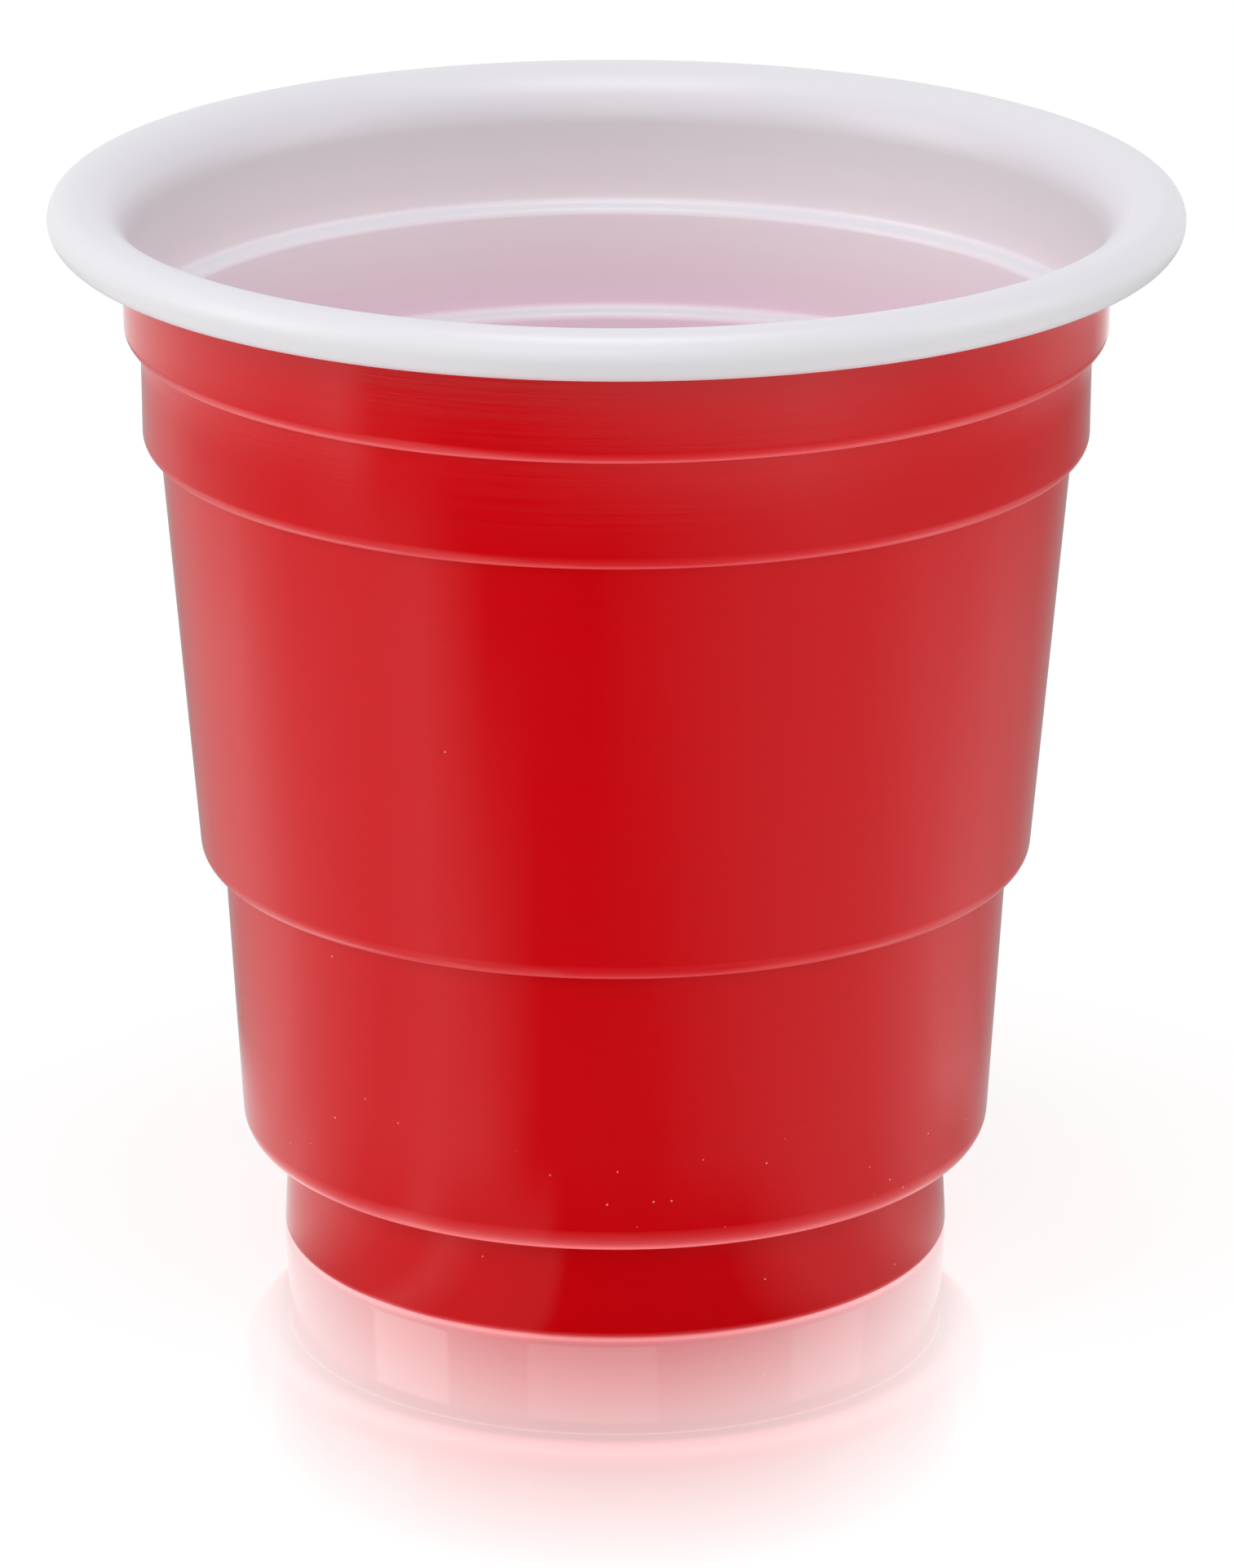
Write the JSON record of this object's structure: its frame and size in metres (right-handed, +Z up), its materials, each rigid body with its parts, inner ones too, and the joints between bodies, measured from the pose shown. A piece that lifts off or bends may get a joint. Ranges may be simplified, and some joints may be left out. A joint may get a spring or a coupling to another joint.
{
  "type": "plastic shot cup",
  "caption": "Small stepped party cup, red outside and white inside, tapering to a narrow foot, with a rolled white lip.",
  "frame": {"origin": "centre of the circle that the cup stands on, level with its standing ring", "axes": "+Z up the cup's axis of revolution, from the foot to the mouth; X and Y are interchangeable"},
  "size_m": [0.0548, 0.0548, 0.0531],
  "materials": {
    "cup_sheet": "thermoformed polystyrene sheet, satin gloss, red outside, white inside and over the rolled lip"
  },
  "bodies": {
    "root": {"cup": "cup_sheet"}
  },
  "joints": []
}
